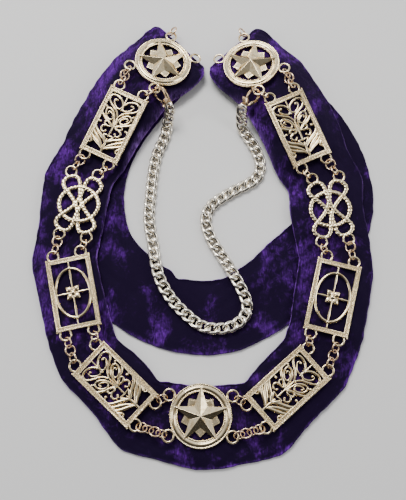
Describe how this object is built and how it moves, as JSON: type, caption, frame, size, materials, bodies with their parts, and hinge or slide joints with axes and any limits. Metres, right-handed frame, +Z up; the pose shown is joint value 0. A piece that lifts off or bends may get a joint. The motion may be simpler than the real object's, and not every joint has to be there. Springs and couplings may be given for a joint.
{
  "type": "chain of office",
  "caption": "Chain of office lying flat: pierced metal plates on jump rings round a folded velvet collar, with a curb chain across the neck.",
  "frame": {"origin": "bottom centre of the box, on the surface it lies on", "axes": "+Z up out of the face, +Y from the bottom disc to the shoulders, +X to the viewer's right"},
  "size_m": [0.3516, 0.4646, 0.0322],
  "materials": {
    "champagne_gold": "pale polished gold plate",
    "copper_gold": "copper-tinted gold plate",
    "silver_gold": "silvery pale gold plate",
    "velvet": "crushed deep purple velvet"
  },
  "bodies": {
    "collar": {"bottom_disc": "champagne_gold", "clasp_body_left": "copper_gold", "clasp_body_right": "copper_gold", "curb_chain": "silver_gold", "filigree_plate_lower_left": "champagne_gold", "filigree_plate_lower_right": "champagne_gold", "filigree_plate_upper_left": "champagne_gold", "filigree_plate_upper_right": "champagne_gold", "knot_plate_left": "champagne_gold", "knot_plate_right": "champagne_gold", "ring_inner_left_1_1": "copper_gold", "ring_inner_left_2_1": "copper_gold", "ring_inner_left_3_1": "copper_gold", "ring_inner_left_4_1": "copper_gold", "ring_inner_left_5_1": "copper_gold", "ring_inner_right_1_1": "copper_gold", "ring_inner_right_2_1": "copper_gold", "ring_inner_right_3_1": "copper_gold", "ring_inner_right_4_1": "copper_gold", "ring_inner_right_5_1": "copper_gold", "ring_outer_left_1_1": "copper_gold", "ring_outer_left_1_2": "copper_gold", "ring_outer_left_1_3": "copper_gold", "ring_outer_left_1_4": "copper_gold", "ring_outer_left_2_1": "copper_gold", "ring_outer_left_2_2": "copper_gold", "ring_outer_left_2_3": "copper_gold", "ring_outer_left_3_1": "copper_gold", "ring_outer_left_3_2": "copper_gold", "ring_outer_left_4_1": "copper_gold", "ring_outer_left_4_2": "copper_gold", "ring_outer_left_5_1": "copper_gold", "ring_outer_left_5_2": "copper_gold", "ring_outer_left_5_3": "copper_gold", "ring_outer_right_1_1": "copper_gold", "ring_outer_right_1_2": "copper_gold", "ring_outer_right_1_3": "copper_gold", "ring_outer_right_1_4": "copper_gold", "ring_outer_right_2_1": "copper_gold", "ring_outer_right_2_2": "copper_gold", "ring_outer_right_2_3": "copper_gold", "ring_outer_right_3_1": "copper_gold", "ring_outer_right_3_2": "copper_gold", "ring_outer_right_4_1": "copper_gold", "ring_outer_right_4_2": "copper_gold", "ring_outer_right_5_1": "copper_gold", "ring_outer_right_5_2": "copper_gold", "ring_outer_right_5_3": "copper_gold", "ring_spare_left": "copper_gold", "ring_spare_right": "copper_gold", "rosette_plate_left": "champagne_gold", "rosette_plate_right": "champagne_gold", "shoulder_disc_left": "champagne_gold", "shoulder_disc_right": "champagne_gold", "velvet_collar": "velvet"},
    "lever_left": {"clasp_lever_left": "copper_gold"},
    "lever_right": {"clasp_lever_right": "copper_gold"}
  },
  "joints": [
    {"name": "lever_left_hinge", "type": "hinge", "parent": "collar", "child": "lever_left", "pos_m": [-0.04471, 0.13157, 0.02445], "axis": [-0.556, -0.3804, 0.7391], "range_deg": [-22, 0], "stiffness_Nm_per_rad": 0.002},
    {"name": "lever_right_hinge", "type": "hinge", "parent": "collar", "child": "lever_right", "pos_m": [0.03844, 0.1352, 0.02891], "axis": [0.556, -0.3804, 0.7391], "range_deg": [-22, 0], "stiffness_Nm_per_rad": 0.002}
  ]
}
